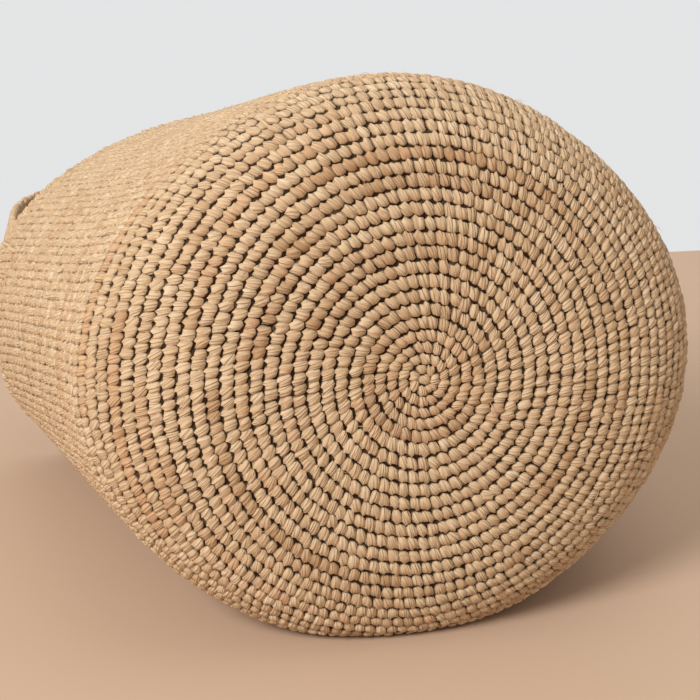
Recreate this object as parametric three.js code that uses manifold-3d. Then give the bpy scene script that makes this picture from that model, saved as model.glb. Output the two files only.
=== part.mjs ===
// Crocheted raffia bucket bag lying on its side. Millimetres, +Z up, base towards -Y and mouth
// towards +Y. The origin is the middle of the flat underside on which the bag lies.
import * as THREE from 'three';
import Module from 'manifold-3d';

const wasm = await Module();
wasm.setup();

// Base panel: a round crocheted disc that stands on edge and has spread a little under its weight
const BASE_HALF_HEIGHT = 125;
const BASE_HALF_WIDTH = 139.7;
const BASE_DIAMOND = 0.012;
const BASE_BULGE = 43;
const BASE_FLATNESS = 5;
const BASE_LEAN_DEG = 6.8;
const BASE_PANEL_SHARE = 0.8;

// Side wall: one crocheted layer, round at the base and slack and wide at the mouth
const WALL_LENGTH = 227;
const FABRIC_THICKNESS = 5;
const MOUTH_HALF_WIDTH = 171.7;
const MOUTH_HEIGHT = 206;
const MOUTH_UPPER_POWER = 1.97;
const MOUTH_LOWER_POWER = 3.05;
const BASE_PULL = 0.85;
const MOUTH_PULL = 1.22;
const SIDE_SWELL = 0.092;
const BELLY_SWELL = 0.154;

// How far the round section would sink below the floor, and the soft bend to the flat underside
const SETTLE_DEPTH = 11;
const FLOOR_BEND = 4;

// Edging round that finishes the mouth
const RIM_HEIGHT = 6;
const RIM_OVERHANG = 0.8;

// Shoulder strap: a flat crocheted band whose two ends are sewn inside the mouth
const STRAP_WIDTH = 30;
const STRAP_THICKNESS = 5;
const STRAP_EDGE_CHAMFER = 1.2;
const STRAP_REACH = 170;
const STRAP_ARCH_POWER = 3;
const STRAP_RISE_DEG = 1;
const STRAP_END_LIFT = 28;
const TAB_SEWN_DEPTH = 42;
const TAB_PAST_RIM = 2;

// Raffia lashings: loops through the wall and the sewn end of the strap
const LASH_RADIUS = 1.3;
const LASH_HALF_LENGTH = 5.5;
const LASH_EDGE_MARGIN = 7;
const LASH_END_MARGIN = 10;

const CLEARANCE = 0.3;

// Facets
const TURN_COUNT = 64;
const BASE_RINGS = 9;
const WALL_RINGS = 13;
const RIM_SIDES = 8;
const TAB_STEPS = 6;
const ARCH_STEPS = 36;
const TIP_STEPS = 5;
const TIP_START_DEG = 8;
const LASH_STEPS = 14;
const LASH_SIDES = 6;
const SECTION_POINTS = 32;

const RAFFIA = new THREE.MeshStandardMaterial({ color: 0xc9a87c, roughness: 0.85, metalness: 0 });
const RAFFIA_EDGE = new THREE.MeshStandardMaterial({ color: 0xbd986b, roughness: 0.85, metalness: 0 });
const RAFFIA_LASH = new THREE.MeshStandardMaterial({ color: 0xd6bb90, roughness: 0.8, metalness: 0 });

const lean = THREE.MathUtils.degToRad(BASE_LEAN_DEG);
const acrossAxis = new THREE.Vector3(1, 0, 0);
const baseUp = new THREE.Vector3(0, Math.sin(lean), Math.cos(lean));
const baseInward = new THREE.Vector3(0, Math.cos(lean), -Math.sin(lean));
const baseCentre = new THREE.Vector3(0, 0, BASE_HALF_HEIGHT - SETTLE_DEPTH);
const mouthHalfHeight = (MOUTH_HEIGHT + SETTLE_DEPTH) / 2;
const mouthCentre = new THREE.Vector3(0, WALL_LENGTH, MOUTH_HEIGHT - mouthHalfHeight);

// Half of the mouth's outline from the right end to the left end, measured evenly along its length
function mouthHalf(power, side) {
  const points = [];
  for (let i = 0; i <= SECTION_POINTS; i += 1) {
    const angle = (Math.PI * i) / SECTION_POINTS;
    const c = Math.cos(angle);
    const x = MOUTH_HALF_WIDTH * Math.sign(c) * Math.abs(c) ** (2 / power);
    const z = mouthHalfHeight * Math.abs(Math.sin(angle)) ** (2 / power);
    points.push(new THREE.Vector2(side * x, side * z));
  }
  return new THREE.SplineCurve(points);
}

const mouthUpper = mouthHalf(MOUTH_UPPER_POWER, 1);
const mouthLower = mouthHalf(MOUTH_LOWER_POWER, -1);

function mouthPoint(turn) {
  const whole = THREE.MathUtils.euclideanModulo(turn, 1);
  const flat = whole < 0.5 ? mouthUpper.getPointAt(whole * 2) : mouthLower.getPointAt(whole * 2 - 1);
  return new THREE.Vector3(flat.x, 0, flat.y).add(mouthCentre);
}

// The fabric lies flat where it would pass through the floor
function layOnFloor(point) {
  if (point.z < -FLOOR_BEND) {
    point.z = 0;
  } else if (point.z < FLOOR_BEND) {
    point.z = (point.z + FLOOR_BEND) ** 2 / (4 * FLOOR_BEND);
  }
  return point;
}

// Base face: rings that are round near the middle and follow the spread edge at the wall, which bows
// out a little at its top, bottom and sides
function basePoint(share, turn) {
  const angle = 2 * Math.PI * turn;
  const k = Math.sin((share * Math.PI) / 2);
  const reach = k * (1 + BASE_DIAMOND * k ** 4 * Math.cos(4 * angle));
  const halfWidth = BASE_HALF_HEIGHT + (BASE_HALF_WIDTH - BASE_HALF_HEIGHT) * k ** 4;
  const depth = BASE_BULGE * Math.sqrt(Math.max(1 - k ** BASE_FLATNESS, 0));
  return baseCentre.clone()
    .addScaledVector(acrossAxis, reach * halfWidth * Math.cos(angle))
    .addScaledVector(baseUp, reach * BASE_HALF_HEIGHT * Math.sin(angle))
    .addScaledVector(baseInward, -depth);
}

// Wall: a loft that leaves the base edge along the bag and swells before it runs to the mouth
function wallPoint(share, turn) {
  const angle = 2 * Math.PI * turn;
  const edge = basePoint(1, turn);
  const mouth = mouthPoint(turn);
  const start = baseInward.clone().multiplyScalar(BASE_PULL)
    .addScaledVector(acrossAxis, SIDE_SWELL * Math.cos(angle))
    .addScaledVector(baseUp, BELLY_SWELL * Math.min(Math.sin(angle), 0))
    .multiplyScalar(WALL_LENGTH);
  const end = mouth.clone().sub(edge).multiplyScalar(MOUTH_PULL);
  const square = share * share;
  const cube = square * share;
  return edge.multiplyScalar(2 * cube - 3 * square + 1)
    .addScaledVector(start, cube - 2 * square + share)
    .addScaledVector(mouth, 3 * square - 2 * cube)
    .addScaledVector(end, cube - square);
}

// Outer skin of the bag: station -1 is the base's middle, 0 the base edge and 1 the mouth
function skin(station, turn) {
  const point = station < 0 ? basePoint(station + 1, turn) : wallPoint(station, turn);
  return layOnFloor(point);
}

function skinFrame(station, turn) {
  const step = 1e-3;
  const along = skin(station + step, turn).sub(skin(station - step, turn)).divideScalar(2 * step);
  const around = skin(station, turn + step).sub(skin(station, turn - step)).divideScalar(2 * step);
  const out = along.clone().cross(around).normalize();
  return { along, around, out };
}

// A point set in from the outer skin and moved on along the fabric towards the mouth
function insetPoint(station, turn, inset, onward = 0) {
  const { along, out } = skinFrame(station, turn);
  return skin(station, turn)
    .addScaledVector(out, -inset)
    .addScaledVector(along.normalize(), onward);
}

function ringAt(station, inset, onward = 0) {
  const ring = [];
  for (let i = 0; i < TURN_COUNT; i += 1) {
    ring.push(insetPoint(station, i / TURN_COUNT, inset, onward));
  }
  return ring;
}

// One closed body from rings of equal count. With end points the rings are capped, and without
// them the last ring joins the first.
function bodyOf(rings, startPoint, endPoint) {
  const count = rings[0].length;
  const points = rings.flat();
  const index = [];
  const spans = startPoint ? rings.length - 1 : rings.length;
  for (let i = 0; i < spans; i += 1) {
    const row = i * count;
    const next = ((i + 1) % rings.length) * count;
    for (let j = 0; j < count; j += 1) {
      const k = (j + 1) % count;
      index.push(row + j, row + k, next + j, row + k, next + k, next + j);
    }
  }
  if (startPoint) {
    const last = (rings.length - 1) * count;
    const first = points.push(startPoint) - 1;
    const final = points.push(endPoint) - 1;
    for (let j = 0; j < count; j += 1) {
      const k = (j + 1) % count;
      index.push(first, k, j, final, last + j, last + k);
    }
  }
  return facingOut(points, index);
}

// Turns the faces over where they enclose a negative volume
function facingOut(points, index) {
  let volume = 0;
  for (let i = 0; i < index.length; i += 3) {
    const [a, b, c] = [points[index[i]], points[index[i + 1]], points[index[i + 2]]];
    volume += a.dot(b.clone().cross(c));
  }
  const geometry = new THREE.BufferGeometry().setFromPoints(points);
  geometry.setIndex(volume < 0 ? index.slice().reverse() : index);
  return geometry;
}

function solidOf(geometry) {
  return new wasm.Manifold(new wasm.Mesh({
    numProp: 3,
    vertProperties: new Float32Array(geometry.getAttribute('position').array),
    triVerts: new Uint32Array(geometry.getIndex().array),
  }));
}

function geometryOf(solid) {
  const mesh = solid.getMesh();
  const geometry = new THREE.BufferGeometry();
  geometry.setAttribute('position', new THREE.BufferAttribute(mesh.vertProperties, 3));
  geometry.setIndex(new THREE.BufferAttribute(mesh.triVerts, 1));
  return geometry;
}

function cutAll(geometry, cutters) {
  return geometryOf(cutters.reduce((solid, cutter) => solid.subtract(solidOf(cutter)), solidOf(geometry)));
}

function spread(from, to, steps) {
  return Array.from({ length: steps + 1 }, (_, i) => from + ((to - from) * i) / steps);
}

// Base panel: the face and the first part of the turned edge, one fabric thickness deep
function makeBasePanel(lastShare) {
  const shares = spread(0, lastShare, BASE_RINGS).slice(1);
  const outer = shares.map((share) => ringAt(share - 1, 0));
  const inner = shares.map((share) => ringAt(share - 1, FABRIC_THICKNESS)).reverse();
  const middle = basePoint(0, 0);
  const backOfMiddle = middle.clone().addScaledVector(baseInward, FABRIC_THICKNESS);
  return bodyOf([...outer, ...inner], middle, backOfMiddle);
}

// Side wall: the rest of the turned edge and the loft to the mouth, open at both ends
function makeSideWall(firstShare) {
  const stations = [firstShare / 2 - 0.5, ...spread(0, 1, WALL_RINGS)];
  const outer = [ringAt(firstShare - 1, 0, CLEARANCE), ...stations.map((station) => ringAt(station, 0))];
  const inner = [
    ringAt(firstShare - 1, FABRIC_THICKNESS, CLEARANCE),
    ...stations.map((station) => ringAt(station, FABRIC_THICKNESS)),
  ];
  return bodyOf([...inner, ...outer.reverse()]);
}

// Edging: a rounded bead that sits on the mouth's cut edge and lies flat on the floor
function makeRimEdging() {
  const rings = [];
  for (let i = 0; i < TURN_COUNT; i += 1) {
    const turn = i / TURN_COUNT;
    const { along, out } = skinFrame(1, turn);
    const onward = along.normalize();
    const centre = insetPoint(1, turn, FABRIC_THICKNESS / 2)
      .addScaledVector(onward, CLEARANCE + RIM_HEIGHT / 2);
    const ring = [];
    for (let j = 0; j < RIM_SIDES; j += 1) {
      const angle = (2 * Math.PI * j) / RIM_SIDES;
      const point = centre.clone()
        .addScaledVector(out, (FABRIC_THICKNESS / 2 + RIM_OVERHANG) * Math.cos(angle))
        .addScaledVector(onward, (RIM_HEIGHT / 2) * Math.sin(angle));
      point.z = Math.max(point.z, 0);
      ring.push(point);
    }
    rings.push(ring);
  }
  return bodyOf(rings);
}

// A point at a distance past the mouth's edge (negative inside the bag), set in from the outer skin
function nearMouth(past, turn, inset) {
  const { along } = skinFrame(1, turn);
  const station = 1 + Math.min(past, 0) / along.length();
  return insetPoint(station, turn, inset, Math.max(past, 0));
}

const tabInset = FABRIC_THICKNESS + RIM_OVERHANG + CLEARANCE;
const tabEnd = CLEARANCE + RIM_HEIGHT + TAB_PAST_RIM;
const strapHalfWidth = STRAP_WIDTH / 2;
const hingePast = tabEnd + CLEARANCE + strapHalfWidth;
const turnPerLength = 0.5 / mouthUpper.getLength();

// Sewn end of the strap: follows the inside of the wall and ends square, just past the edging
function makeStrapTab(turn) {
  const halfTurn = strapHalfWidth * turnPerLength;
  const turns = spread(turn - halfTurn, turn + halfTurn, TAB_STEPS);
  const backTurns = turns.slice().reverse();
  const inset = tabInset + STRAP_THICKNESS;
  const steps = [...spread(-TAB_SEWN_DEPTH, 0, TAB_STEPS), tabEnd];
  const rings = steps.map((past) => [
    ...turns.map((t) => nearMouth(past, t, tabInset)),
    ...backTurns.map((t) => nearMouth(past, t, inset)),
  ]);
  const middle = tabInset + STRAP_THICKNESS / 2;
  return bodyOf(rings, nearMouth(-TAB_SEWN_DEPTH, turn, middle), nearMouth(tabEnd, turn, middle));
}

// Round-ended flat band bent along an arch from the left hinge point to the right one; its ends lean
// with the mouth's sides that they are sewn to, and it is upright at the top of the arch
function makeStrap(halfSpan, endLean) {
  const stops = [];
  const tipAngles = spread(THREE.MathUtils.degToRad(TIP_START_DEG), Math.PI / 2, TIP_STEPS);
  const addTip = (side, angle) => stops.push({
    centre: new THREE.Vector3(side * halfSpan, -strapHalfWidth * Math.cos(angle), 0),
    out: new THREE.Vector3(side, 0, 0),
    lean: endLean,
    halfWidth: strapHalfWidth * Math.sin(angle),
  });
  tipAngles.forEach((angle) => addTip(-1, angle));
  spread(0, Math.PI, ARCH_STEPS).slice(1, -1).forEach((angle) => {
    const across = -Math.sign(Math.cos(angle)) * Math.abs(Math.cos(angle)) ** (2 / STRAP_ARCH_POWER);
    const reach = Math.sin(angle) ** (2 / STRAP_ARCH_POWER);
    const slopes = [across, reach]
      .map((part) => Math.sign(part) * Math.abs(part) ** (STRAP_ARCH_POWER - 1));
    stops.push({
      centre: new THREE.Vector3(halfSpan * across, STRAP_REACH * reach, 0),
      out: new THREE.Vector3(slopes[0] / halfSpan, slopes[1] / STRAP_REACH, 0).normalize(),
      lean: endLean * (1 - reach),
      halfWidth: strapHalfWidth,
    });
  });
  tipAngles.slice().reverse().forEach((angle) => addTip(1, angle));
  const rings = stops.map(({ centre, out, lean, halfWidth }) => {
    const face = out.clone().multiplyScalar(Math.cos(lean)).setZ(Math.sin(lean));
    const upright = out.clone().multiplyScalar(-Math.sin(lean)).setZ(Math.cos(lean));
    const deep = STRAP_THICKNESS / 2;
    const wide = halfWidth;
    const cut = Math.min(STRAP_EDGE_CHAMFER, wide / 2);
    const corners = [
      [deep, wide - cut], [deep - cut, wide], [cut - deep, wide], [-deep, wide - cut],
      [-deep, cut - wide], [cut - deep, -wide], [deep - cut, -wide], [deep, cut - wide],
    ];
    return corners.map(([a, b]) => centre.clone().addScaledVector(face, a).addScaledVector(upright, b));
  });
  return bodyOf(rings, stops[0].centre.clone(), stops.at(-1).centre.clone());
}

// Raffia loop that goes through the wall and the strap's end; a fatter copy cuts its holes
function makeLashing(past, turn, radius) {
  const stack = tabInset + STRAP_THICKNESS;
  const centre = nearMouth(past, turn, stack / 2);
  const { along, around, out } = skinFrame(1 + past / skinFrame(1, turn).along.length(), turn);
  const onward = along.normalize();
  const sideways = around.normalize();
  const halfDepth = stack / 2 + LASH_RADIUS + CLEARANCE;
  const rings = spread(0, 2 * Math.PI, LASH_STEPS).slice(0, -1).map((angle) => {
    const c = Math.cos(angle);
    const s = Math.sin(angle);
    const spot = centre.clone()
      .addScaledVector(onward, LASH_HALF_LENGTH * c)
      .addScaledVector(out, halfDepth * s);
    const away = onward.clone().multiplyScalar(halfDepth * c)
      .addScaledVector(out, LASH_HALF_LENGTH * s)
      .normalize();
    return spread(0, 2 * Math.PI, LASH_SIDES).slice(0, -1).map((side) => spot.clone()
      .addScaledVector(away, radius * Math.cos(side))
      .addScaledVector(sideways, radius * Math.sin(side)));
  });
  return bodyOf(rings);
}

function addMesh(parent, name, geometry, material) {
  const mesh = new THREE.Mesh(geometry, material);
  mesh.name = name;
  geometry.computeVertexNormals();
  parent.add(mesh);
}

const bag = new THREE.Group();
bag.position.y = -WALL_LENGTH / 2;

addMesh(bag, 'base_panel', makeBasePanel(BASE_PANEL_SHARE), RAFFIA);

// The sewn ends sit a little above the mouth's widest points
const endTurn = STRAP_END_LIFT * turnPerLength;
const ends = [
  { side: 'left', turn: 0.5 - endTurn },
  { side: 'right', turn: endTurn },
];
const lashReach = strapHalfWidth - LASH_EDGE_MARGIN;
const lashSpots = [-LASH_END_MARGIN, LASH_END_MARGIN - TAB_SEWN_DEPTH]
  .flatMap((past) => [-lashReach, lashReach].map((offset) => ({ past, offset })));

const wallCutters = [];
ends.forEach(({ side, turn }) => {
  const spots = lashSpots.map(({ past, offset }) => [past, turn + offset * turnPerLength]);
  const cutters = spots.map((spot) => makeLashing(...spot, LASH_RADIUS + CLEARANCE));
  wallCutters.push(...cutters);
  addMesh(bag, `strap_end_${side}`, cutAll(makeStrapTab(turn), cutters), RAFFIA_EDGE);
  spots.forEach((spot, i) => {
    addMesh(bag, `lashing_${side}_${i + 1}`, makeLashing(...spot, LASH_RADIUS), RAFFIA_LASH);
  });
});

addMesh(bag, 'side_wall', cutAll(makeSideWall(BASE_PANEL_SHARE), wallCutters), RAFFIA);
addMesh(bag, 'rim_edging', makeRimEdging(), RAFFIA_EDGE);

const hinge = nearMouth(hingePast, ends[0].turn, tabInset + STRAP_THICKNESS / 2);
const strapSwing = new THREE.Group();
strapSwing.position.set(0, hinge.y, hinge.z);
strapSwing.rotation.x = THREE.MathUtils.degToRad(STRAP_RISE_DEG);
const endLean = Math.asin(skinFrame(1, ends[0].turn).out.z);
addMesh(strapSwing, 'strap', makeStrap(Math.abs(hinge.x), endLean), RAFFIA_EDGE);
bag.add(strapSwing);

export default bag;
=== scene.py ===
"""Crocheted raffia bucket bag lying on its side: every stitch of its base, wall, edging and strap."""

import bisect
import math
import random

import bmesh
import bpy
from mathutils import Matrix, Vector


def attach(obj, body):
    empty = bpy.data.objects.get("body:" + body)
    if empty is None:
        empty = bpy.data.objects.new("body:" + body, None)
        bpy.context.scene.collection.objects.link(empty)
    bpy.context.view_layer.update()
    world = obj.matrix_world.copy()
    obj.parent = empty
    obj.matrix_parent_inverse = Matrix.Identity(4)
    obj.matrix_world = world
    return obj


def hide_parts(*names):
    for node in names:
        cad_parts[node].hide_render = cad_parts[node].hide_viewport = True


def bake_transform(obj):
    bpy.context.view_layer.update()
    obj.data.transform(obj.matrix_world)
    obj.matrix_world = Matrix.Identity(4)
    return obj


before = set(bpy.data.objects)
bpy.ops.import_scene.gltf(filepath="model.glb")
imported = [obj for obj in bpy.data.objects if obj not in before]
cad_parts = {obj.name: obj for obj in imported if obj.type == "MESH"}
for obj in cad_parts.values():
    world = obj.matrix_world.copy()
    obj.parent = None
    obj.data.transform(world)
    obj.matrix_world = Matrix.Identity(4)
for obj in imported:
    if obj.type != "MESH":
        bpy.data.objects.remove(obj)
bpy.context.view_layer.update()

# Lengths are in metres
MM = 0.001

# Base panel and wall, as the solids have them
BASE_HALF_HEIGHT = 125 * MM
BASE_HALF_WIDTH = 139.7 * MM
BASE_DIAMOND = 0.012
BASE_CORNERS = 4
BASE_SPREAD_POWER = 4
BASE_BULGE = 43 * MM
BASE_FLATNESS = 5
BASE_LEAN = math.radians(6.8)
BASE_PANEL_SHARE = 0.8
WALL_LENGTH = 227 * MM
FABRIC_THICKNESS = 5 * MM
MOUTH_HALF_WIDTH = 171.7 * MM
MOUTH_HEIGHT = 206 * MM
MOUTH_UPPER_POWER = 1.97
MOUTH_LOWER_POWER = 3.05
BASE_PULL = 0.85
MOUTH_PULL = 1.22
SIDE_SWELL = 0.092
BELLY_SWELL = 0.154
SETTLE_DEPTH = 11 * MM
FLOOR_BEND = 4 * MM

# Edging, strap and lashings, as the solids have them
RIM_HEIGHT = 6 * MM
RIM_OVERHANG = 0.8 * MM
STRAP_WIDTH = 30 * MM
STRAP_THICKNESS = 5 * MM
STRAP_REACH = 170 * MM
STRAP_ARCH_POWER = 3
STRAP_RISE = math.radians(1)
STRAP_END_LIFT = 28 * MM
TAB_SEWN_DEPTH = 42 * MM
TAB_PAST_RIM = 2 * MM
LASH_RADIUS = 1.3 * MM
LASH_HALF_LENGTH = 5.5 * MM
LASH_EDGE_MARGIN = 7 * MM
LASH_END_MARGIN = 10 * MM
CLEARANCE = 0.3 * MM

# Rounds and rows of crochet
ROUND_PITCH = 5.85 * MM
FIRST_PITCH = 4.2 * MM
STITCH_WIDTH = 4.6 * MM
FIRST_WIDTH = 3.6 * MM
BUTTON = 4.6 * MM
FIRST_ROUND = 4.4 * MM
FIRST_TURN = 0.28
EASE_RUN = 30 * MM
WALL_STITCHES = 184
ROUND_SHIFT = 0.2
LEAST_ROUND = 0.25
STRAP_STITCHES = 5
STITCHES_PER_PIECE = 1400

X = Vector((1, 0, 0))
UP = Vector((0, 0, 1))
BASE_UP = Vector((0, math.sin(BASE_LEAN), math.cos(BASE_LEAN)))
BASE_INWARD = Vector((0, math.cos(BASE_LEAN), -math.sin(BASE_LEAN)))
MOUTH_HALF_HEIGHT = (MOUTH_HEIGHT + SETTLE_DEPTH) / 2
BASE_CENTRE = Vector((0, -WALL_LENGTH / 2, BASE_HALF_HEIGHT - SETTLE_DEPTH))
MOUTH_CENTRE = Vector((0, WALL_LENGTH / 2, MOUTH_HEIGHT - MOUTH_HALF_HEIGHT))

SEED = 11
chance = random.Random(SEED)


# The bag's form

SLOPE_STEP = 1e-3
CURVE_SAMPLES = 240


def clamped(value):
    return min(max(value, 0), 1)


def between(places, values, place):
    """The value at a place, from values at rising places."""
    i = min(max(bisect.bisect_right(places, place), 1), len(places) - 1)
    share = (place - places[i - 1]) / (places[i] - places[i - 1])
    return values[i - 1] + (values[i] - values[i - 1]) * share


def running_length(points):
    """How far along a line of points each one lies."""
    lengths = [0.0]
    for a, b in zip(points, points[1:]):
        lengths.append(lengths[-1] + (b - a).length)
    return lengths


def mouth_half(power, side):
    """Half of the mouth's outline, from its right end over the top or back along the floor."""
    points = []
    for i in range(CURVE_SAMPLES + 1):
        angle = math.pi * i / CURVE_SAMPLES
        across, rise = math.cos(angle), math.sin(angle)
        x = MOUTH_HALF_WIDTH * math.copysign(abs(across) ** (2 / power), across)
        z = MOUTH_HALF_HEIGHT * abs(rise) ** (2 / power)
        points.append(Vector((x, 0, z)) * side)
    return running_length(points), points


mouth_upper = mouth_half(MOUTH_UPPER_POWER, 1)
mouth_lower = mouth_half(MOUTH_LOWER_POWER, -1)


def mouth_point(turn):
    """The mouth's edge, where a turn of 0 is its right end and a quarter turn its top."""
    whole = turn % 1
    lengths, points = mouth_upper if whole < 0.5 else mouth_lower
    return MOUTH_CENTRE + between(lengths, points, lengths[-1] * (whole * 2 % 1))


def base_point(share, turn):
    """The base's face: round near its middle, and following the spread edge where the wall starts."""
    angle = 2 * math.pi * turn
    k = math.sin(share * math.pi / 2)
    spread = k ** BASE_SPREAD_POWER
    reach = k * (1 + BASE_DIAMOND * spread * math.cos(BASE_CORNERS * angle))
    half_width = BASE_HALF_HEIGHT + (BASE_HALF_WIDTH - BASE_HALF_HEIGHT) * spread
    depth = BASE_BULGE * math.sqrt(max(1 - abs(k) ** BASE_FLATNESS, 0))
    return (
        BASE_CENTRE
        + X * (reach * half_width * math.cos(angle))
        + BASE_UP * (reach * BASE_HALF_HEIGHT * math.sin(angle))
        - BASE_INWARD * depth
    )


def wall_point(share, turn):
    """The wall: it leaves the base edge along the bag and swells before it runs to the mouth."""
    angle = 2 * math.pi * turn
    edge, mouth = base_point(1, turn), mouth_point(turn)
    start = WALL_LENGTH * (
        BASE_INWARD * BASE_PULL
        + X * (SIDE_SWELL * math.cos(angle))
        + BASE_UP * (BELLY_SWELL * min(math.sin(angle), 0))
    )
    end = (mouth - edge) * MOUTH_PULL
    square, cube = share ** 2, share ** 3
    return (
        edge * (2 * cube - 3 * square + 1)
        + start * (cube - 2 * square + share)
        + mouth * (3 * square - 2 * cube)
        + end * (cube - square)
    )


def skin(station, turn):
    """The outer skin: station -1 is the base's middle, 0 the base edge and 1 the mouth."""
    point = base_point(station + 1, turn) if station < 0 else wall_point(station, turn)
    if point.z < -FLOOR_BEND:
        point.z = 0
    elif point.z < FLOOR_BEND:
        point.z = (point.z + FLOOR_BEND) ** 2 / (4 * FLOOR_BEND)
    return point


def skin_frame(station, turn):
    """A point of the skin, the way onward to the mouth, ahead along the round, and out."""
    step = SLOPE_STEP
    onward = (skin(station + step, turn) - skin(station - step, turn)).normalized()
    around = (skin(station, turn + step) - skin(station, turn - step)).normalized()
    out = onward.cross(around).normalized()
    return skin(station, turn), onward, out.cross(onward), out


def near_mouth(past, turn, inset):
    """A frame at a distance past the mouth's edge, or inside it, set in from the outer skin."""
    step = SLOPE_STEP
    length = (skin(1 + step, turn) - skin(1 - step, turn)).length / (2 * step)
    point, onward, ahead, out = skin_frame(1 + min(past, 0) / length, turn)
    return point - out * inset + onward * max(past, 0), onward, ahead, out


# Raffia finishes

# Sockets of a Mix node that mixes colours
MIX_SHARE = 0
MIX_FIRST = 6
MIX_SECOND = 7
MIX_RESULT = 2


class Value:
    """A socket of a node tree, so that shader maths reads as arithmetic."""

    def __init__(self, tree, socket):
        self.tree = tree
        self.socket = socket

    def maths(self, operation, *others):
        sockets = dict(enumerate((self, *others)))
        return self.tree.node("ShaderNodeMath", {"operation": operation}, sockets)

    def __add__(self, other):
        return self.maths("ADD", other)

    __radd__ = __add__

    def __sub__(self, other):
        return self.maths("SUBTRACT", other)

    def __rsub__(self, other):
        return self.tree.node("ShaderNodeMath", {"operation": "SUBTRACT"}, {0: other, 1: self})

    def __mul__(self, other):
        return self.maths("MULTIPLY", other)

    __rmul__ = __mul__

    def ramp(self, low, high):
        """0 below low, 1 above high, and smooth between."""
        settings = {"interpolation_type": "SMOOTHSTEP"}
        sockets = {"Value": self, "From Min": low, "From Max": high}
        return self.tree.node("ShaderNodeMapRange", settings, sockets)


class NodeTree:
    """The nodes of a finish or of the room, all made by one method."""

    def __init__(self, owner):
        owner.use_nodes = True
        self.nodes = owner.node_tree.nodes
        self.links = owner.node_tree.links

    def feed(self, socket, value):
        """Links a value to a socket, or sets a constant on it."""
        if isinstance(value, Value):
            self.links.new(value.socket, socket)
        else:
            socket.default_value = value

    def node(self, kind, settings, sockets, output=0):
        """A new node with its settings, then its sockets, as the value of one output."""
        made = self.nodes.new(kind)
        for key, setting in settings.items():
            setattr(made, key, setting)
        for key, value in sockets.items():
            self.feed(made.inputs[key], value)
        return Value(self, made.outputs[output])


class Finish(NodeTree):
    """One material, with the sockets of its shader that are the same all over."""

    def __init__(self, name, constants):
        self.material = bpy.data.materials.new(name)
        super().__init__(self.material)
        self.shader = self.nodes["Principled BSDF"]
        for socket, constant in constants.items():
            self.set(socket, constant)

    def set(self, socket, value):
        self.feed(self.shader.inputs[socket], value)

    def attribute(self, name):
        """The three parts of a vector that the mesh holds at each point."""
        vector = self.node("ShaderNodeAttribute", {"attribute_name": name}, {}, "Vector")
        return [self.node("ShaderNodeSeparateXYZ", {}, {0: vector}, part) for part in "XYZ"]

    def noise(self, x, y, z, detail):
        place = self.node("ShaderNodeCombineXYZ", {}, {0: x, 1: y, 2: z})
        sockets = {"Vector": place, "Scale": 1.0, "Detail": detail}
        return self.node("ShaderNodeTexNoise", {}, sockets)

    def mixed(self, share, first, second):
        """Two colours, with a share of the second."""
        sockets = {MIX_SHARE: share, MIX_FIRST: first, MIX_SECOND: second}
        return self.node("ShaderNodeMix", {"data_type": "RGBA"}, sockets, MIX_RESULT)


DEEP_SHADE = (0.024, 0.009, 0.003, 1)
DARK_STRAW = (0.38, 0.215, 0.105, 1)
STRAW = (0.61, 0.445, 0.278, 1)
PALE_STRAW = (0.77, 0.625, 0.445, 1)
RUSSET = (0.57, 0.335, 0.185, 1)
GREEN_STRAW = (0.59, 0.475, 0.275, 1)
CREAM = (0.87, 0.745, 0.57, 1)

# Streaks of a strand: how many there are to a millimetre along it and across it
FOLDS = (1 / 14.0, 1 / 2.4)
FIBRES = (1 / 6.0, 1 / 0.6)
PATCHES = (0.22, 0.35)

BODY_ROUGHNESS = 0.68
TRIM_ROUGHNESS = 0.62
RAFFIA_SPECULAR = 0.15
CREASE = (-0.03, 0.16)
FIBRE_GLOSS = 0.3
FIBRE_HEIGHT = 0.35
RELIEF = 0.4 * MM


def make_raffia(name, roughness):
    """Raffia strips: each stitch has its own tone, and folds and fibres run along its strands; shade is
    painted in the folds' creases and where a stitch lies hidden.
    """
    finish = Finish(name, {"Roughness": roughness, "Specular IOR Level": RAFFIA_SPECULAR})
    # The strand's third part is how much painted shade a point takes: none on a crown, full deep between
    # stitches
    along, across, depth = finish.attribute("strand")
    tone, warmth, seed = finish.attribute("tint")

    def streaks(rates, apart, detail=2.0):
        """Noise drawn out along the strand, from another place for each stitch."""
        return finish.noise(along * rates[0], across * rates[1], seed * apart, detail)

    fold = streaks(FOLDS, apart=61, detail=1.5)
    strip = (fold - 0.5).maths("ABSOLUTE").ramp(*CREASE)
    fibre = streaks(FIBRES, apart=47)
    patch = streaks(PATCHES, apart=37)

    # Each layer: what shows it, where it starts and is full, how strong it is, and its colour
    layers = (
        (tone, 0.0, 0.5, 1.0, STRAW),
        (tone, 0.45, 1.0, 1.0, PALE_STRAW),
        (warmth, 0.55, 1.0, 0.65, RUSSET),
        (1 - warmth, 0.7, 1.0, 0.6, GREEN_STRAW),
        (fibre, 0.54, 0.74, 0.28, CREAM),
        (1 - fibre, 0.55, 0.75, 0.25, DARK_STRAW),
        # Painted shade in the creases between the folds
        (1 - strip, 0.45, 0.9, 0.4, DARK_STRAW),
        (patch, 0.55, 0.8, 0.35, PALE_STRAW),
        # Painted shade where a stitch lies hidden: low in the fabric, between stitches and on the slabs
        # inside them
        (depth, 0.4, 0.88, 0.93, DEEP_SHADE),
    )
    colour = DARK_STRAW
    for mask, low, high, strength, layer_colour in layers:
        colour = finish.mixed(mask.ramp(low, high) * strength, colour, layer_colour)
    finish.set("Base Color", colour)
    finish.set("Roughness", roughness + (0.5 - fibre) * FIBRE_GLOSS)
    sockets = {"Strength": 1.0, "Distance": RELIEF, "Height": strip + fibre * FIBRE_HEIGHT}
    finish.set("Normal", finish.node("ShaderNodeBump", {}, sockets))
    return finish.material


body_raffia = make_raffia("raffia_body", BODY_ROUGHNESS)
trim_raffia = make_raffia("raffia_trim", TRIM_ROUGHNESS)


# Strands and stitches

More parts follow.
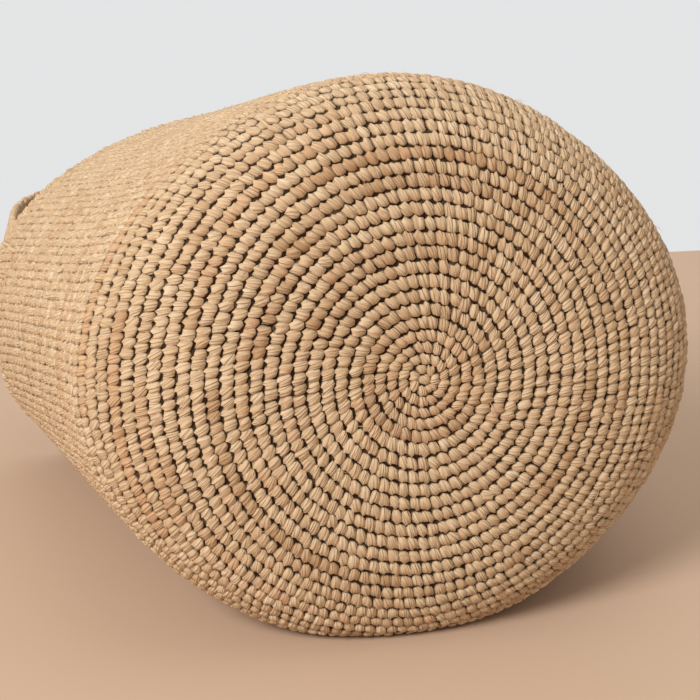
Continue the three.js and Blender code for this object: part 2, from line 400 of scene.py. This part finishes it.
def put(name, data):
    """A new object in the scene, at the origin."""
    made = bpy.data.objects.new(name, data)
    bpy.context.scene.collection.objects.link(made)
    return made


def mesh_from(bm, name):
    mesh = bpy.data.meshes.new(name)
    bm.to_mesh(mesh)
    bm.free()
    return mesh


def shape_from(bm, name):
    """A small smooth shape with its faces outwards, of which pieces take copies."""
    bmesh.ops.recalc_face_normals(bm, faces=bm.faces)
    mesh = mesh_from(bm, name)
    mesh.shade_smooth()
    return mesh


def strand_layer(bm):
    """At each point: how far along and across its strand it lies, in millimetres, and how hidden, which
    sets how much painted shade it takes.
    """
    layers = bm.verts.layers.float_vector
    return layers.get("strand") or layers.new("strand")


def add_strand(bm, path, widths, depths, up, sides, corner=1.0, scale=1.0, shade=None):
    """One closed strand: a ring at each point of the path, and those at its ends drawn to tips."""
    layer = strand_layer(bm)
    ring = bmesh.ops.create_circle(bm, segments=sides, radius=1.0)["verts"]
    edges = list({edge for vert in ring for edge in vert.link_edges})
    outline = [vert.co.copy() * (corner if i % 2 else 1.0) for i, vert in enumerate(ring)]
    lengths = running_length(path)
    tips = []
    for i, spot in enumerate(path):
        way = (path[min(i + 1, len(path) - 1)] - path[max(i - 1, 0)]).normalized()
        side = up.cross(way).normalized()
        rise = way.cross(side)
        if i:
            made = bmesh.ops.extrude_edge_only(bm, edges=edges)["geom"]
            ring = [part for part in made if isinstance(part, bmesh.types.BMVert)]
            edges = [part for part in made if isinstance(part, bmesh.types.BMEdge)]
        for vert, place in zip(ring, outline):
            vert.co = spot + side * (place.x * widths[i]) + rise * (place.y * depths[i])
            deep = shade(vert.co) if shade else 0.0
            vert[layer] = (lengths[i] * scale, place.x * widths[i] * scale, deep)
        if i in (0, len(path) - 1):
            tips.append(ring)
    for tip in tips:
        middle = sum((vert.co for vert in tip), Vector()) / len(tip)
        bmesh.ops.pointmerge(bm, verts=tip, merge_co=middle)


# A stitch's bead, in shares of its cell: x from the last round to the next, y along the round, z out
CELL = ROUND_PITCH / MM
BEAD_AHEAD = (-0.64, -0.54, -0.30, 0.0, 0.30, 0.54, 0.64)
BEAD_INNER = (-0.05, -0.13, -0.42, -0.54, -0.42, -0.13, -0.05)
BEAD_OUTER = (0.20, 0.44, 0.50, 0.51, 0.50, 0.44, 0.20)
BEAD_DEPTH = (0.10, 0.33, 0.47, 0.50, 0.47, 0.33, 0.10)
BEAD_SIDES = 8
BEAD_CORNER = 1.08
BEAD_LEAN = 0.28
FIBRE_LEAN = math.radians(33)
TOOTH = 0.22
TOOTH_RINGS = (2, 4)
LOOP_HALF = (0.62, 0.62, 0.06)
STRAP_LOOP_HALF = (0.62, 0.45, 0.06)
BUTTON_LOOP_HALF = (1.5, 1.5, 0.06)
# The share of painted shade that the strap's and edging's stitches take, so the band's edges are not
# painted into shade
STRAP_SHADE_SHARE = 0.5

# How far a bead's outline strays, and how many times that its depth, lean and fibres do
BEAD_WOBBLE = 0.055
DEPTH_WOBBLE = 2
LEAN_WOBBLE = 3
FIBRE_WOBBLE = 5

# Where a bead is in shade: the further below its crown, and the nearer to its ends, the more
CROWN_HEIGHT = 0.5
END_SHADE = 1.6
END_SHADE_START = 0.22

STITCH_SHAPES = 10
STRAP_SHAPES = 8
WISP_SHAPES = 4

# A loose fibre, in shares of its length
WISP_ALONG = (0, 0.3, 0.65, 1.0)
WISP_WIDTHS = (0.016, 0.016, 0.013, 0.006)
WISP_DEPTHS = (0.01, 0.01, 0.008, 0.005)
WISP_SIDES = 3
WISP_BEND = 0.4
WISP_RISE = 0.5
WISP_DROOP = 0.35


def stitch_shade(place):
    """How hidden a point of a stitch lies: 0 on its crown, and 1 at mid depth and deep between two."""
    low = 1 - abs(place.z) / CROWN_HEIGHT
    near_end = END_SHADE * abs(place.y) - END_SHADE_START
    return clamped(max(low, near_end))


def add_loop(bm, half):
    """A thin slab painted in full shade, standing for the shaded inside of a stitch, that closes the gaps
    between it and its neighbours.
    """
    verts = bmesh.ops.create_cube(bm, size=2.0, matrix=Matrix.Diagonal((*half, 1)))["verts"]
    # Every point of the slab takes full painted shade
    for vert in verts:
        vert[strand_layer(bm)] = (0, 0, 1)


def make_stitch(name, side=1, loop=LOOP_HALF, shade_share=1.0):
    """One single crochet in a cell one unit each way: a plump bead of a rope along the round."""

    def wobble():
        return chance.uniform(-BEAD_WOBBLE, BEAD_WOBBLE)

    # The painted shade, scaled by the stitch's share of it
    def shade(place):
        return stitch_shade(place) * shade_share

    bm = bmesh.new()
    inner = [x + wobble() for x in BEAD_INNER]
    outer = [x + wobble() for x in BEAD_OUTER]
    outer[chance.randint(*TOOTH_RINGS)] += TOOTH
    path = [Vector(((a + b) / 2, y, 0)) for a, b, y in zip(inner, outer, BEAD_AHEAD)]
    widths = [(b - a) / 2 for a, b in zip(inner, outer)]
    depths = [depth * (1 + DEPTH_WOBBLE * wobble()) for depth in BEAD_DEPTH]
    add_strand(bm, path, widths, depths, UP, BEAD_SIDES, BEAD_CORNER, shade=shade)
    lean = side * (BEAD_LEAN + LEAN_WOBBLE * wobble())
    fibre_lean = side * (FIBRE_LEAN + FIBRE_WOBBLE * wobble())
    layer = strand_layer(bm)
    for vert in bm.verts:
        vert.co.y += lean * vert.co.x
        along = vert.co.x * math.cos(fibre_lean) + vert.co.y * math.sin(fibre_lean)
        across = vert.co.y * math.cos(fibre_lean) - vert.co.x * math.sin(fibre_lean)
        vert[layer] = (along * CELL, across * CELL, vert[layer].z)
    add_loop(bm, loop)
    return shape_from(bm, name)


def make_wisp(name):
    """A loose fibre that has sprung out of the fabric, about one unit long."""
    bm = bmesh.new()
    bend = chance.uniform(-WISP_BEND, WISP_BEND)
    path = [Vector((s, bend * s * s, WISP_RISE * s - WISP_DROOP * s * s)) for s in WISP_ALONG]
    add_strand(bm, path, WISP_WIDTHS, WISP_DEPTHS, UP, WISP_SIDES, scale=CELL)
    return shape_from(bm, name)


def make_strap_stitch(i):
    """The strap's stitches lean left and right by turns, as rows that are worked to and fro do."""
    return make_stitch(f"strap_stitch_{i}", (1, -1)[i % 2], STRAP_LOOP_HALF, STRAP_SHADE_SHARE)


stitches = [make_stitch(f"stitch_{i}") for i in range(STITCH_SHAPES)]
strap_stitches = [make_strap_stitch(i) for i in range(STRAP_SHAPES)]
button_stitch = make_stitch("button_stitch", 1, BUTTON_LOOP_HALF)
wisps = [make_wisp(f"wisp_{i}") for i in range(WISP_SHAPES)]


# Fabric and yarn

# The raffia's colour: stitches worked from one strip, then tone and warmth as middle and spread
STRIP_STITCHES = (4, 30)
STRIP_TONE = (0.5, 0.1)
STRIP_WARMTH = (0.5, 0.13)
STITCH_SPREAD = 0.06

# How far stitches stray from an even row: degrees, then shares of their own size
STRAY_TURN = 4
STRAY_ROLL = 4
STRAY_TALL = 0.04
STRAY_WIDE = 0.06
STRAY_THICK = 0.08
STRAY_ONWARD = 0.022
STRAY_AHEAD = 0.05
STITCH_OVERLAP = 1.02

# Loose fibres: how many to a stitch, their lengths in millimetres, and their tone and warmth
WISP_CHANCE = 0.03
WISP_LENGTHS = (4, 11)
WISP_TINT = (0.65, 0.5)
WISP_ROOT = 1 * MM


class Fabric:
    """Gathers copies of small shapes into one piece, each copy with a tone of its own."""

    def __init__(self):
        self.bm = bmesh.new()
        self.tints = []

    def add(self, shape, matrix, tone, warmth):
        """A copy of a shape, put in its place."""
        copy = shape.copy()
        copy.transform(matrix)
        self.bm.from_mesh(copy, face_normals=False)
        bpy.data.meshes.remove(copy)
        self.tints += [(tone, warmth, chance.random())] * len(shape.vertices)

    def piece(self, name, material):
        """The finished object, pressed flat where it meets the floor."""
        for vert in self.bm.verts:
            vert.co.z = max(vert.co.z, 0)
        mesh = mesh_from(self.bm, name)
        tint = mesh.attributes.new("tint", "FLOAT_VECTOR", "POINT")
        tint.data.foreach_set("vector", [part for row in self.tints for part in row])
        mesh.shade_smooth()
        mesh.materials.append(material)
        return put(name, mesh)


class Yarn:
    """The colour of the raffia as it is worked: it changes strip by strip, and a little each stitch."""

    def __init__(self):
        self.left = 0

    def next(self):
        """The tone and warmth of the next stitch."""
        if self.left == 0:
            self.left = chance.randint(*STRIP_STITCHES)
            self.tone = clamped(chance.gauss(*STRIP_TONE))
            self.warmth = clamped(chance.gauss(*STRIP_WARMTH))
        self.left -= 1
        tone = clamped(self.tone + chance.gauss(0, STITCH_SPREAD))
        warmth = clamped(self.warmth + chance.gauss(0, STITCH_SPREAD))
        return tone, warmth


def stitch_matrix(point, onward, ahead, out, tall, wide, thick, slack=1.0):
    """Where a stitch sits, each one turned, rolled, shifted and sized a little differently."""
    turn = Matrix.Rotation(math.radians(chance.gauss(0, STRAY_TURN) * slack), 3, "Z")
    roll = Matrix.Rotation(math.radians(chance.gauss(0, STRAY_ROLL) * slack), 3, "Y")
    size = Matrix.Diagonal((
        tall * (1 + chance.gauss(0, STRAY_TALL) * slack),
        wide * (STITCH_OVERLAP + chance.gauss(0, STRAY_WIDE) * slack),
        thick * (1 - abs(chance.gauss(0, STRAY_THICK)) * slack),
    ))
    axes = Matrix((onward, ahead, out)).transposed() @ turn @ roll @ size
    shift = onward * chance.gauss(0, STRAY_ONWARD * tall) + ahead * chance.gauss(0, STRAY_AHEAD * wide)
    return Matrix.Translation(point + shift * slack) @ axes.to_4x4()


def add_wisp(fabric, point, onward, ahead, out):
    """A loose fibre that springs out of the fabric in any direction along it."""
    turn = Matrix.Rotation(chance.uniform(-math.pi, math.pi), 3, "Z")
    size = chance.uniform(*WISP_LENGTHS) * MM
    axes = Matrix((onward, ahead, out)).transposed() @ turn
    place = Matrix.Translation(point) @ (axes * size).to_4x4()
    fabric.add(chance.choice(wisps), place, *WISP_TINT)


def dress(fabric, name, material, slot, *nodes):
    """A piece of the bag itself, in place of its CAD nodes."""
    made = fabric.piece(name, material)
    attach(made, "bag")
    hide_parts(*nodes)


# Base and wall: rounds of stitches from the base's middle to the mouth

STATION_STEPS = 160
TURN_STEPS = 24
STATIONS = [i / STATION_STEPS - 1 for i in range(2 * STATION_STEPS + 1)]
TURNS = [i / TURN_STEPS for i in range(TURN_STEPS + 1)]
CENTRE_WARMTH = 0.3
PANEL_NODES = {"base": "base_panel", "wall": "side_wall"}

# Measured on the skin: its girth at each station, and the run of fabric from the base's middle
rings = [[skin(station, turn) for turn in TURNS] for station in STATIONS]
perimeters = [running_length(ring)[-1] for ring in rings]
meridians = [running_length([ring[i] for ring in rings]) for i in range(len(TURNS))]
fabric_runs = [sum(runs[:-1]) / TURN_STEPS for runs in zip(*meridians)]
base_run = between(STATIONS, fabric_runs, 0)


def station_at(run, turn):
    """Where a round lies on one side: evenly far from the base's middle, and level at the mouth."""
    share = clamped((run - base_run) / (fabric_runs[-1] - base_run))
    level = share * share * (3 - 2 * share)
    place = turn % 1 * TURN_STEPS
    i = int(place)
    first, second = (
        between(runs, STATIONS, run + (runs[-1] - fabric_runs[-1]) * level)
        for runs in meridians[i:i + 2]
    )
    return first + (second - first) * (place - i)


def rounds():
    """Each stitch's run of fabric, turn, height and width, in closed rounds from the middle outwards."""
    run, start = FIRST_ROUND, FIRST_TURN
    while True:
        ease = min(run / EASE_RUN, 1)
        pitch = FIRST_PITCH + (ROUND_PITCH - FIRST_PITCH) * ease
        tall = min(pitch, fabric_runs[-1] - run + pitch / 2)
        if tall < pitch * LEAST_ROUND:
            return
        middle = run - pitch / 2 + tall / 2
        perimeter = between(fabric_runs, perimeters, middle)
        width = FIRST_WIDTH + (STITCH_WIDTH - FIRST_WIDTH) * ease
        count = min(round(perimeter / width), WALL_STITCHES)
        for i in range(count):
            yield middle, start - i / count, tall, perimeter / count
        start += ROUND_SHIFT / count
        run += pitch


def crochet_bag():
    """Base and wall, each as a few pieces of up to a set number of stitches."""
    yarn = Yarn()
    made = {"base": 0, "wall": 0}
    fabric, count, part = Fabric(), 0, "base"
    middle = base_point(0, 0) + BASE_INWARD * (FABRIC_THICKNESS / 2)
    button = stitch_matrix(middle, BASE_UP, -X, -BASE_INWARD, BUTTON, BUTTON, FABRIC_THICKNESS)
    fabric.add(button_stitch, button, *yarn.next())

    def close():
        made[part] += 1
        name = f"{part}_rounds_{made[part]}"
        dress(fabric, name, body_raffia, "raffia_body", PANEL_NODES[part])

    panel_run = between(STATIONS, fabric_runs, BASE_PANEL_SHARE - 1)
    for run, turn, tall, wide in rounds():
        here = "base" if run < panel_run else "wall"
        if here != part or count == STITCHES_PER_PIECE:
            close()
            fabric, count, part = Fabric(), 0, here
        point, onward, ahead, out = skin_frame(station_at(run, turn), turn)
        middle = point - out * (FABRIC_THICKNESS / 2)
        place = stitch_matrix(middle, onward, ahead, out, tall, wide, FABRIC_THICKNESS)
        tone, warmth = yarn.next()
        warmer = CENTRE_WARMTH * math.exp(-run / EASE_RUN)
        fabric.add(chance.choice(stitches), place, tone, warmth + warmer)
        if chance.random() < WISP_CHANCE:
            add_wisp(fabric, point - out * WISP_ROOT, onward, ahead, out)
        count += 1
    close()


crochet_bag()


# Edging round the mouth

EDGING_SLACK = 0.5


def crochet_edging():
    """One round past the wall's last one, a little thicker than the wall, all leaning one way."""
    yarn = Yarn()
    fabric = Fabric()
    count = WALL_STITCHES
    kind = strap_stitches[1::2]
    wide = perimeters[-1] / count
    thick = FABRIC_THICKNESS + 2 * RIM_OVERHANG
    for i in range(count):
        point, onward, ahead, out = skin_frame(1, i / count)
        middle = point - out * (FABRIC_THICKNESS / 2) + onward * (CLEARANCE + RIM_HEIGHT / 2)
        place = stitch_matrix(middle, onward, ahead, out, RIM_HEIGHT, wide, thick, EDGING_SLACK)
        fabric.add(chance.choice(kind), place, *yarn.next())
    dress(fabric, "rim_edging_stitches", trim_raffia, "raffia_trim", "rim_edging")


crochet_edging()


# Shoulder strap: one band from inside the left of the mouth, over the arch, to inside the right

STRAP_SLACK = 0.6
SEWN_STEPS = 12
TAB_INSET = FABRIC_THICKNESS + RIM_OVERHANG + CLEARANCE
TAB_END = CLEARANCE + RIM_HEIGHT + TAB_PAST_RIM
STRAP_MIDDLE = TAB_INSET + STRAP_THICKNESS / 2
HINGE_PAST = TAB_END + CLEARANCE + STRAP_WIDTH / 2
TURN_PER_LENGTH = 0.5 / mouth_upper[0][-1]
RIGHT_TURN = STRAP_END_LIFT * TURN_PER_LENGTH
LEFT_TURN = 0.5 - RIGHT_TURN
HINGE, _, _, END_OUT = near_mouth(HINGE_PAST, LEFT_TURN, STRAP_MIDDLE)
HALF_SPAN = abs(HINGE.x)
END_LEAN = math.asin(END_OUT.z)


def strap_line():
    """Points down the middle of the band, and the way its outer face looks at each of them."""
    points, outs = [], []
    for i in range(SEWN_STEPS + 1):
        past = -TAB_SEWN_DEPTH + (TAB_END + TAB_SEWN_DEPTH) * i / SEWN_STEPS
        point, _, _, out = near_mouth(past, LEFT_TURN, STRAP_MIDDLE)
        points.append(point)
        outs.append(out)
    rise = Matrix.Rotation(STRAP_RISE, 3, "X")
    pivot = Vector((0, HINGE.y, HINGE.z))
    bow = 2 / STRAP_ARCH_POWER
    steepness = STRAP_ARCH_POWER - 1
    for i in range(CURVE_SAMPLES + 1):
        angle = math.pi * i / CURVE_SAMPLES
        across = -math.copysign(abs(math.cos(angle)) ** bow, math.cos(angle))
        reach = abs(math.sin(angle)) ** bow
        points.append(pivot + rise @ Vector((HALF_SPAN * across, STRAP_REACH * reach, 0)))
        slope = math.copysign(abs(across) ** steepness, across)
        out = Vector((slope / HALF_SPAN, reach ** steepness / STRAP_REACH, 0)).normalized()
        lean = END_LEAN * (1 - reach)
        outs.append(rise @ Vector((out.x * math.cos(lean), out.y * math.cos(lean), math.sin(lean))))
    for point, out in zip(points[SEWN_STEPS::-1], outs[SEWN_STEPS::-1]):
        points.append(Vector((-point.x, point.y, point.z)))
        outs.append(Vector((-out.x, out.y, out.z)))
    return points, outs


def crochet_strap():
    """Rows across the band; it bends over the hinge between the bag and the strap."""
    yarn = Yarn()
    fabric = Fabric()
    points, outs = strap_line()
    lengths = running_length(points)
    rows = round(lengths[-1] / ROUND_PITCH)
    wide = STRAP_WIDTH / STRAP_STITCHES
    for row in range(rows):
        place = (row + 0.5) * lengths[-1] / rows
        middle = between(lengths, points, place)
        next_row = between(lengths, points, min(place + ROUND_PITCH, lengths[-1]))
        last_row = between(lengths, points, max(place - ROUND_PITCH, 0))
        onward = (next_row - last_row).normalized()
        across = between(lengths, outs, place).cross(onward).normalized()
        out = onward.cross(across)
        kind = strap_stitches[row % 2::2]
        for column in range(STRAP_STITCHES):
            spot = middle + across * ((column - (STRAP_STITCHES - 1) / 2) * wide)
            matrix = stitch_matrix(
                spot, onward, across, out, ROUND_PITCH, wide, STRAP_THICKNESS, STRAP_SLACK
            )
            fabric.add(chance.choice(kind), matrix, *yarn.next())
    made = fabric.piece("strap_band", body_raffia)
    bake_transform(made)
    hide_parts("strap", "strap_end_left", "strap_end_right")


crochet_strap()


# Lashings: raffia loops through the wall and the strap's sewn ends

LASH_STEPS = 20
LASH_OVERLAP = 0.05
LASH_POINTS = 23
LASH_DRIFT = 0.5 * MM
LASH_SIDES = 8
LASH_CORNER = 0.86
LASH_TIP = 0.4
LASH_TINT = (0.5, 0.5)


def lash(name, past, turn):
    """One loop, whose two ends pass each other a little."""
    stack = TAB_INSET + STRAP_THICKNESS
    centre, onward, ahead, out = near_mouth(past, turn, stack / 2)
    half_depth = stack / 2 + LASH_RADIUS + CLEARANCE
    path = []
    for i in range(LASH_POINTS):
        angle = 2 * math.pi * (i / LASH_STEPS - LASH_OVERLAP)
        drift = ahead * (LASH_DRIFT * (i / (LASH_POINTS - 1) - 0.5))
        path.append(
            centre
            + onward * (LASH_HALF_LENGTH * math.cos(angle))
            + out * (half_depth * math.sin(angle))
            + drift
        )
    tip = LASH_TIP * LASH_RADIUS
    radii = [tip] + [LASH_RADIUS] * (LASH_POINTS - 2) + [tip]
    bm = bmesh.new()
    add_strand(bm, path, radii, radii, ahead, LASH_SIDES, LASH_CORNER, 1 / MM)
    fabric = Fabric()
    fabric.add(shape_from(bm, f"{name}_strand"), Matrix(), *LASH_TINT)
    dress(fabric, f"{name}_strand", trim_raffia, "raffia_trim", name)


def lash_strap_ends():
    """Four loops at each end of the strap, near the corners of its sewn length."""
    reach = STRAP_WIDTH / 2 - LASH_EDGE_MARGIN
    pasts = (-LASH_END_MARGIN, LASH_END_MARGIN - TAB_SEWN_DEPTH)
    spots = [(past, offset) for past in pasts for offset in (-reach, reach)]
    for side, turn in (("left", LEFT_TURN), ("right", RIGHT_TURN)):
        for i, (past, offset) in enumerate(spots):
            lash(f"lashing_{side}_{i + 1}", past, turn + offset * TURN_PER_LENGTH)


lash_strap_ends()


# Floor, backdrop, light and camera

FLOOR_TAN = (0.56, 0.40, 0.285, 1)
FLOOR_ROUGHNESS = 0.8
FLOOR_FAR_EDGE = 0.585
FLOOR_REACH = 6.0
PALE_GREY = (0.775, 0.78, 0.785, 1)
ROOM_LIGHT = (1.0, 0.92, 0.83, 1)
ROOM_STRENGTH = 0.48
BACKDROP_RAYS = ("Is Camera Ray", "Is Glossy Ray", "Is Transmission Ray")

# Lamps: name, place and size in metres, watts, and colour
LAMP_AIM = Vector((0, 0, 0.1))
LAMPS = (
    ("window", Vector((-1.5, -1.15, 1.4)), 0.9, 46, (1.0, 0.985, 0.97)),
    ("overhead", Vector((0.3, 0.1, 2.0)), 1.8, 7, (1.0, 0.96, 0.9)),
    ("fill", Vector((0.9, 1.8, 1.1)), 1.5, 8, (1.0, 0.96, 0.9)),
)

CAMERA_AZIMUTH = math.radians(-15.37)
CAMERA_ELEVATION = math.radians(15.95)
CAMERA_ROLL = math.radians(0.5)
CAMERA_DISTANCE = 568.1 * MM
CAMERA_AIM = Vector((-20.4, -113.5, 121.7)) * MM
PHOTO_SIDE = 700
FOCAL_PIXELS = 1300
SENSOR = 36


def add_camera():
    """The photograph's view, with a small roll."""
    lens = bpy.data.cameras.new("camera")
    lens.sensor_width = SENSOR
    lens.lens = SENSOR * FOCAL_PIXELS / PHOTO_SIDE
    level = math.cos(CAMERA_ELEVATION)
    back = Vector((
        math.sin(CAMERA_AZIMUTH) * level,
        -math.cos(CAMERA_AZIMUTH) * level,
        math.sin(CAMERA_ELEVATION),
    ))
    right = Vector((math.cos(CAMERA_AZIMUTH), math.sin(CAMERA_AZIMUTH), 0))
    up = back.cross(right)
    rolled_right = right * math.cos(CAMERA_ROLL) + up * math.sin(CAMERA_ROLL)
    rolled_up = up * math.cos(CAMERA_ROLL) - right * math.sin(CAMERA_ROLL)
    axes = Matrix((rolled_right, rolled_up, back)).transposed().to_4x4()
    made = put("camera", lens)
    made.matrix_world = Matrix.Translation(CAMERA_AIM + back * CAMERA_DISTANCE) @ axes
    bpy.context.scene.camera = made


def add_floor():
    """A plain tan floor that ends behind the bag."""
    side, far = FLOOR_REACH, FLOOR_FAR_EDGE
    corners = ((-side, -side, 0), (side, -side, 0), (side, far, 0), (-side, far, 0))
    bm = bmesh.new()
    bmesh.ops.contextual_create(bm, geom=[bm.verts.new(corner) for corner in corners])
    mesh = mesh_from(bm, "floor")
    finish = Finish("floor", {"Roughness": FLOOR_ROUGHNESS, "Base Color": FLOOR_TAN})
    mesh.materials.append(finish.material)
    made = put("floor", mesh)


def add_lamp(name, place, size, power, colour):
    """A round soft lamp that looks at the bag."""
    lamp = bpy.data.lights.new(name, "AREA")
    lamp.shape = "DISK"
    lamp.size = size
    lamp.energy = power
    lamp.color = colour
    made = put(name, lamp)
    made.location = place
    made.rotation_mode = "QUATERNION"
    made.rotation_quaternion = (LAMP_AIM - place).to_track_quat("-Z", "Y")


def add_room():
    """Warm light from all round, and the pale grey that the camera and any gloss see beyond the floor."""
    world = bpy.data.worlds.new("room")
    room = NodeTree(world)
    light = room.nodes["Background"]
    room.feed(light.inputs["Color"], ROOM_LIGHT)
    room.feed(light.inputs["Strength"], ROOM_STRENGTH)
    backdrop = room.node("ShaderNodeBackground", {}, {"Color": PALE_GREY})
    shown, *others = [room.node("ShaderNodeLightPath", {}, {}, ray) for ray in BACKDROP_RAYS]
    for ray in others:
        shown = shown.maths("MAXIMUM", ray)
    sockets = {0: shown, 1: Value(room, light.outputs[0]), 2: backdrop}
    choice = room.node("ShaderNodeMixShader", {}, sockets)
    room.feed(room.nodes["World Output"].inputs["Surface"], choice)
    bpy.context.scene.world = world


add_camera()
add_floor()
for lamp_values in LAMPS:
    add_lamp(*lamp_values)
add_room()
bpy.context.scene.view_settings.view_transform = "Standard"
